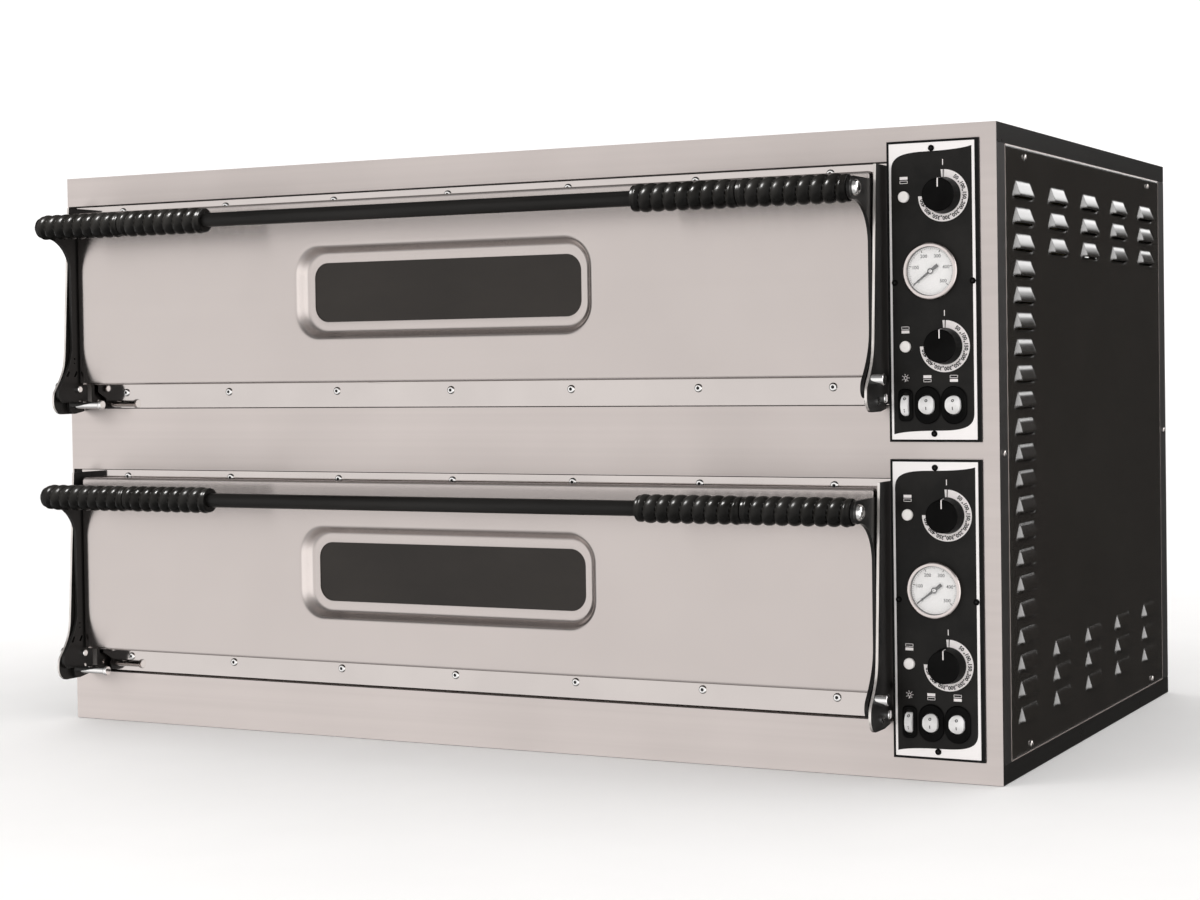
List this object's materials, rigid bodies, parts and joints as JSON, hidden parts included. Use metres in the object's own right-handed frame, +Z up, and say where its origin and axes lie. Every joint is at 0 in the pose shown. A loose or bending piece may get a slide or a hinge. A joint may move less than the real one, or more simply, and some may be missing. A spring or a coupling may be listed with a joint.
{
  "type": "countertop pizza oven",
  "caption": "Double-deck electric pizza oven: drop-down doors with windows and full-width ribbed handles, stone floors, louvred black sides and a control plate beside each door.",
  "frame": {"origin": "centre of the flat base of the casing, at the level it rests on", "axes": "+X to the right along the front, +Y from the front into the oven, +Z up; the doors face -Y"},
  "size_m": [1.337, 0.9218, 0.745],
  "materials": {
    "stainless": "satin brushed",
    "polished": "bright polished",
    "black_paint": "gloss black stove enamel",
    "black_satin": "satin black",
    "galvanised": "dull zinc",
    "liner": "aluminised sheet",
    "wool": "mineral wool",
    "stone": "fired refractory",
    "element": "oxidised sheath",
    "chrome": "bright",
    "screw_black": "black oxide",
    "glass_dark": "smoked",
    "glass_clear": "clear",
    "grip": "moulded thermoset",
    "rod": "satin black",
    "knob": "moulded",
    "rocker": "moulded",
    "housing": "moulded",
    "lens": "translucent",
    "dial": "bright bezel with white dial",
    "needle": "black",
    "electrical": "moulded",
    "cable": "cable sheath"
  },
  "bodies": {
    "root": {"front_fascia": "stainless", "base_tray": "black_paint", "top_cover": "black_paint", "side_panel_right": "black_paint", "side_panel_left": "black_paint", "rear_panel": "black_paint", "chassis_frame": "black_paint", "casing_screws": "chrome", "chamber_liners": "liner", "chamber_rails": "liner", "chamber_front_frames": "polished", "front_frame_screws": "chrome", "chamber_insulation": "wool", "stone_floor_tiles": "stone", "heating_elements": "element", "chamber_lamps": "galvanised", "lamp_glasses": "glass_clear", "hinge_cheeks_right": "black_satin", "hinge_cheeks_left": "black_satin", "hinge_pins": "chrome", "control_plates": "stainless", "control_plate_screws": "screw_black", "pilot_lamps": "lens", "thermometer_cases": "dial", "thermometer_glasses": "glass_clear", "thermostats": "galvanised", "switch_housings": "housing", "switchgear": "electrical", "wiring": "cable", "cable_gland": "electrical", "mains_cable": "cable", "steam_vents": "stainless"},
    "lower_door": {"lower_door_skin": "stainless", "lower_door_liner": "liner", "lower_door_glass": "glass_dark", "lower_door_insulation": "wool", "lower_door_arms": "black_satin", "lower_door_screws": "chrome", "lower_handle_rod": "rod", "lower_handle_grips": "grip"},
    "lower_top_heat_knob": {"lower_top_heat_knob": "knob"},
    "lower_floor_heat_knob": {"lower_floor_heat_knob": "knob"},
    "lower_thermometer_needle": {"lower_thermometer_needle": "needle"},
    "lower_light_rocker": {"lower_light_rocker": "rocker"},
    "lower_top_heat_rocker": {"lower_top_heat_rocker": "rocker"},
    "lower_floor_heat_rocker": {"lower_floor_heat_rocker": "rocker"},
    "upper_door": {"upper_door_skin": "stainless", "upper_door_liner": "liner", "upper_door_glass": "glass_dark", "upper_door_insulation": "wool", "upper_door_arms": "black_satin", "upper_door_screws": "chrome", "upper_handle_rod": "rod", "upper_handle_grips": "grip"},
    "upper_top_heat_knob": {"upper_top_heat_knob": "knob"},
    "upper_floor_heat_knob": {"upper_floor_heat_knob": "knob"},
    "upper_thermometer_needle": {"upper_thermometer_needle": "needle"},
    "upper_light_rocker": {"upper_light_rocker": "rocker"},
    "upper_top_heat_rocker": {"upper_top_heat_rocker": "rocker"},
    "upper_floor_heat_rocker": {"upper_floor_heat_rocker": "rocker"}
  },
  "joints": [
    {"name": "lower_door_hinge", "type": "hinge", "parent": "root", "child": "lower_door", "pos_m": [-0.0555, -0.4175, 0.072], "axis": [1, 0, 0], "range_deg": [0, 85]},
    {"name": "lower_top_heat_knob_turn", "type": "hinge", "parent": "root", "child": "lower_top_heat_knob", "pos_m": [0.6007, -0.4, 0.3033], "axis": [0, 1, 0], "range_deg": [0, 270]},
    {"name": "lower_floor_heat_knob_turn", "type": "hinge", "parent": "root", "child": "lower_floor_heat_knob", "pos_m": [0.6007, -0.4, 0.1333], "axis": [0, 1, 0], "range_deg": [0, 270]},
    {"name": "lower_needle_turn", "type": "hinge", "parent": "root", "child": "lower_thermometer_needle", "pos_m": [0.5856, -0.3935, 0.2183], "axis": [0, 1, 0], "range_deg": [0, 256]},
    {"name": "lower_light_rocker_tilt", "type": "hinge", "parent": "root", "child": "lower_light_rocker", "pos_m": [0.5538, -0.3905, 0.0668], "axis": [1, 0, 0], "range_deg": [0, 14]},
    {"name": "lower_top_heat_rocker_tilt", "type": "hinge", "parent": "root", "child": "lower_top_heat_rocker", "pos_m": [0.5797, -0.3905, 0.0668], "axis": [1, 0, 0], "range_deg": [0, 14]},
    {"name": "lower_floor_heat_rocker_tilt", "type": "hinge", "parent": "root", "child": "lower_floor_heat_rocker", "pos_m": [0.611, -0.3905, 0.0668], "axis": [1, 0, 0], "range_deg": [0, 14]},
    {"name": "upper_door_hinge", "type": "hinge", "parent": "root", "child": "upper_door", "pos_m": [-0.0555, -0.4175, 0.4335], "axis": [1, 0, 0], "range_deg": [0, 85]},
    {"name": "upper_top_heat_knob_turn", "type": "hinge", "parent": "root", "child": "upper_top_heat_knob", "pos_m": [0.6007, -0.4, 0.6648], "axis": [0, 1, 0], "range_deg": [0, 270]},
    {"name": "upper_floor_heat_knob_turn", "type": "hinge", "parent": "root", "child": "upper_floor_heat_knob", "pos_m": [0.6007, -0.4, 0.4948], "axis": [0, 1, 0], "range_deg": [0, 270]},
    {"name": "upper_needle_turn", "type": "hinge", "parent": "root", "child": "upper_thermometer_needle", "pos_m": [0.5856, -0.3935, 0.5798], "axis": [0, 1, 0], "range_deg": [0, 256]},
    {"name": "upper_light_rocker_tilt", "type": "hinge", "parent": "root", "child": "upper_light_rocker", "pos_m": [0.5538, -0.3905, 0.4283], "axis": [1, 0, 0], "range_deg": [0, 14]},
    {"name": "upper_top_heat_rocker_tilt", "type": "hinge", "parent": "root", "child": "upper_top_heat_rocker", "pos_m": [0.5797, -0.3905, 0.4283], "axis": [1, 0, 0], "range_deg": [0, 14]},
    {"name": "upper_floor_heat_rocker_tilt", "type": "hinge", "parent": "root", "child": "upper_floor_heat_rocker", "pos_m": [0.611, -0.3905, 0.4283], "axis": [1, 0, 0], "range_deg": [0, 14]}
  ]
}
